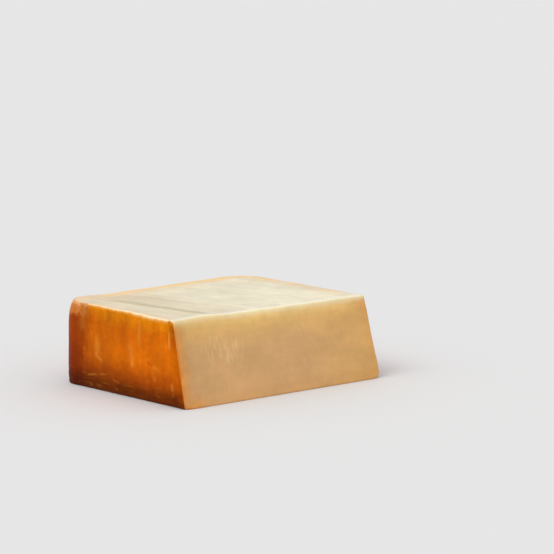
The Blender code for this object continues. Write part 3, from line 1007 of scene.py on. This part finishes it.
def cut_top_material(colours, groups, drag_turn):
    """The cut top: cream made paler by a painted sheen, greyer to the left, with the long streaks that the
    wire dragged across it.
    """
    tree = Finish("cut_top", TOP_LOOK, colours, groups)
    x, y, _ = tree.parts(tree.place)
    turned = tree.turned(tree.place, -drag_turn)
    across, lengthways, _ = tree.parts(turned)
    near_rind, near_front = tree.measures("to_rind", "to_front")
    fine, wide, cloud = tree.pattern("fine", turned), tree.pattern("wide", turned), tree.pattern("cloud")
    factor = tree.clouds(turned)

    # Cream and grey cream: partly the cheese's colour, partly a painted sheen.
    colour = tree.paint("cream", tree.fade(grey_left=x), "grey_cream")
    drag = tree.math("MAXIMUM", tree.share("wide_drag", wide), tree.share("fine_drag", fine))
    apart, off_middle = (tree.math("ABSOLUTE", tree.math("SUBTRACT", way, middle)) for way, middle in
                         ((across, LONG_STREAK_ACROSS), (lengthways, LONG_STREAK_MIDDLE)))
    band = tree.math("ADD", tree.fade(long_streak=(apart, wide)), tree.fade(long_shade=(apart, wide)))
    band = tree.fade(band, long_ends=off_middle, long_fine=fine)
    colour = tree.paint(colour, tree.math("MAXIMUM", tree.fade(drag, drag=x), band), "drag")
    dusk = tree.fade(dusk_left=x, dusk_right=x, dusk_back=y, dusk_streaks=wide)
    colour = tree.paint(colour, dusk, "dusk")

    at_back = tree.fade(back=y, back_left=x)
    at_right = tree.fade(right=x, right_front=near_front, right_patches=tree.pattern("patches"))
    colour = tree.paint(colour, tree.fade(grey_right=x), "grey_cream")
    smoky = tree.math("MAXIMUM", at_back, at_right)
    colour = tree.paint(colour, tree.fade(smoky, peach=(near_rind, cloud)), "peach")
    colour = tree.paint(colour, tree.fade(worn_edge=near_rind, worn_left=x), "peach")
    colour = tree.paint(colour, tree.fade(pale=(near_front, cloud)), "pale")
    colour = tree.scaled(colour, factor)
    # Golden at the back and right edges: partly smoke, partly a painted glow of the light from behind.
    golden = tree.math("MAXIMUM", at_back, tree.share("golden_right", at_right))
    colour = tree.paint(colour, tree.fade(golden, golden=(near_rind, cloud)), "golden")
    from_corner = tree.vector("DISTANCE", tree.place, SHOULDER_PLACE)
    colour = tree.paint(colour, tree.fade(corner_peach=(from_corner, cloud)), "peach")
    colour = tree.paint(colour, tree.fade(corner_pale=(from_corner, cloud)), "shoulder_pale")
    specks = tree.fade(tree.pattern("specks"), at_right, specks=near_rind)
    colour = tree.paint(colour, specks, "fringe_far")
    return tree.finish(colour, wide, fine=fine)


def cut_front_material(colours, groups):
    """The cut front: tan as painted shade, lighter under its top edge as painted glow and highlight, orange
    where the smoke crept in from the rind.
    """
    tree = Finish("cut_front", FRONT_LOOK, colours, groups)
    x, _, z = tree.parts(tree.place)
    near_top, near_rind = tree.measures("to_top", "to_rind")
    factor = tree.clouds(tree.place)
    waver = tree.math("SUBTRACT", tree.pattern("waver"), 0.5)
    # Painted highlight on the top edge, painted glow under it, and painted shade in the tan below.
    colour = tree.band("front", near_top, waver)

    far = tree.fade(far=(near_rind, waver), far_right=x)
    fringe = tree.paint(tree.band("fringe", near_rind, waver), far, "fringe_far")
    share = tree.fade(fringe=(near_rind, waver), fringe_top=near_top,
                      fringe_ends=tree.math("ABSOLUTE", x))
    colour = tree.paint(colour, share, fringe)
    colour = tree.paint(colour, tree.fade(warm=x, warm_top=near_top), "warm_tan")
    colour = tree.paint(colour, tree.fade(glow=x, glow_low=near_top, glow_top=near_top), "seam")
    colour = tree.scaled(colour, tree.fade(left_shade=x))

    combs = COMB_BETWEEN
    for at_x, at_z, half_x, half_z, strength in FRONT_COMBS:
        off_x, off_z = (tree.math("DIVIDE", tree.math("SUBTRACT", way, middle), half)
                        for way, middle, half in ((x, at_x, half_x), (z, at_z, half_z)))
        away = tree.math("ADD", tree.times(off_x, off_x), tree.times(off_z, off_z))
        combs = tree.math("MAXIMUM", combs, tree.span(away, *COMB_EDGE, strength, 0.0))
    dashes = tree.times(tree.pattern("dashes"), combs)
    colour = tree.scaled(tree.paint(colour, dashes, "cream_butter"), factor)
    return tree.finish(colour, factor, dashes=dashes)


# ---- The stage ----


def studio_floor(colour):
    """A round pale floor, wide enough that its rim lies beyond the picture."""
    angles = [math.tau * k / FLOOR_TURNS for k in range(FLOOR_TURNS)]
    points = [(0.0, 0.0, 0.0)]
    points += [(FLOOR_RADIUS * math.cos(a), FLOOR_RADIUS * math.sin(a), 0.0) for a in angles]
    mesh = bpy.data.meshes.new("studio_floor")
    mesh.from_pydata(points, [], [(0, 1 + k, 1 + (k + 1) % FLOOR_TURNS) for k in range(FLOOR_TURNS)])
    material = bpy.data.materials.new("studio_floor")
    material.use_nodes = True
    shader = material.node_tree.nodes["Principled BSDF"]
    shader.inputs["Roughness"].default_value = FLOOR_ROUGHNESS
    shader.inputs["Specular IOR Level"].default_value = FLOOR_SPECULAR
    shader.inputs["Base Color"].default_value = (*colour, 1.0)
    mesh.materials.append(material)
    floor = bpy.data.objects.new("studio_floor", mesh)
    bpy.context.scene.collection.objects.link(floor)
    return floor


def soft_light(name, way, strength, spread):
    """Even light that comes from a direction, softened over a wide angle."""
    light = bpy.data.lights.new(name, "SUN")
    light.energy = strength
    light.angle = spread
    lamp = bpy.data.objects.new(name, light)
    lamp.rotation_mode = "QUATERNION"
    lamp.rotation_quaternion = (-Vector(way)).to_track_quat("-Z", "Y")
    bpy.context.scene.collection.objects.link(lamp)


def photo_camera(studio):
    """The camera at the photograph's viewing angle."""
    data = bpy.data.cameras.new("photo_camera")
    data.lens = studio.lens
    data.clip_end = VIEW_END
    camera = bpy.data.objects.new("photo_camera", data)
    azimuth, pitch = studio.azimuth, studio.elevation
    back = Vector((
        math.sin(azimuth) * math.cos(pitch), -math.cos(azimuth) * math.cos(pitch), math.sin(pitch)
    ))
    camera.location = Vector(studio.aim) + back * studio.distance
    camera.rotation_mode = "QUATERNION"
    camera.rotation_quaternion = (-back).to_track_quat("-Z", "Y")
    bpy.context.scene.collection.objects.link(camera)
    bpy.context.scene.camera = camera


class GOUDA_OT_block(Operator):
    """Builds the block of smoked gouda: its mesh, its relief and its three finishes"""

    bl_idname = "gouda.block"
    bl_label = "Build Block"

    def execute(self, context):
        scene = context.scene
        relief, colours = scene.gouda_relief, scene.gouda_colours
        groups = {"streaks": streak_group(), "clouds": cloud_group(), "stroke": stroke_group(),
                  "grain": grain_group()}
        piece = bpy.data.objects.new("smoked_gouda", block_mesh(scene.gouda_sizes))
        scene.collection.objects.link(piece)
        values = {title(name): getattr(relief, name) for name in BlockRelief.__annotations__}
        values |= {
            "Chip Place": CHIP_PLACE, "Seed": RELIEF_SEED,
            "Rind": rind_material(colours, groups),
            "Cut Top": cut_top_material(colours, groups, relief.drag_turn),
            "Cut Front": cut_front_material(colours, groups),
        }
        apply_relief(piece, relief_tree(), values)
        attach(piece, BODY)
        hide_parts(NODE)
        return {"FINISHED"}


class GOUDA_OT_stage(Operator):
    """Sets the pale floor, the soft lights and the camera round the block"""

    bl_idname = "gouda.stage"
    bl_label = "Set Stage"

    def execute(self, context):
        studio = context.scene.gouda_studio
        studio_floor(studio.floor)
        soft_light("key", KEY_WAY, studio.key_light, KEY_SPREAD)
        world = bpy.data.worlds.new("studio_air")
        world.use_nodes = True
        background = world.node_tree.nodes["Background"]
        background.inputs["Color"].default_value = (1.0, 1.0, 1.0, 1.0)
        background.inputs["Strength"].default_value = studio.air_light
        context.scene.world = world
        context.scene.view_settings.view_transform = "Standard"
        photo_camera(studio)
        return {"FINISHED"}


class GOUDA_PT_panel(Panel):
    """Lists the steps that build the block and its stage"""

    bl_label = "Smoked Gouda"
    bl_idname = "GOUDA_PT_panel"
    bl_space_type = "VIEW_3D"
    bl_region_type = "UI"
    bl_category = "Gouda"

    def draw(self, context):
        layout = self.layout
        layout.operator(GOUDA_OT_block.bl_idname)
        layout.operator(GOUDA_OT_stage.bl_idname)
        for name in SETTINGS:
            box = layout.box()
            group = getattr(context.scene, name)
            for key in group.bl_rna.properties.keys():
                if key not in ("rna_type", "name"):
                    box.prop(group, key)


SETTINGS = {"gouda_sizes": BlockSizes, "gouda_relief": BlockRelief, "gouda_colours": BlockColours,
            "gouda_studio": StudioSettings}
CLASSES = (*SETTINGS.values(), GOUDA_OT_block, GOUDA_OT_stage, GOUDA_PT_panel)


def register():
    for cls in CLASSES:
        bpy.utils.register_class(cls)
    for name, cls in SETTINGS.items():
        setattr(bpy.types.Scene, name, PointerProperty(type=cls))


def unregister():
    for name in SETTINGS:
        delattr(bpy.types.Scene, name)
    for cls in reversed(CLASSES):
        bpy.utils.unregister_class(cls)


def main():
    """Registers the classes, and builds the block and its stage."""
    register()
    bpy.ops.gouda.block()
    bpy.ops.gouda.stage()


if __name__ == "__main__":
    main()
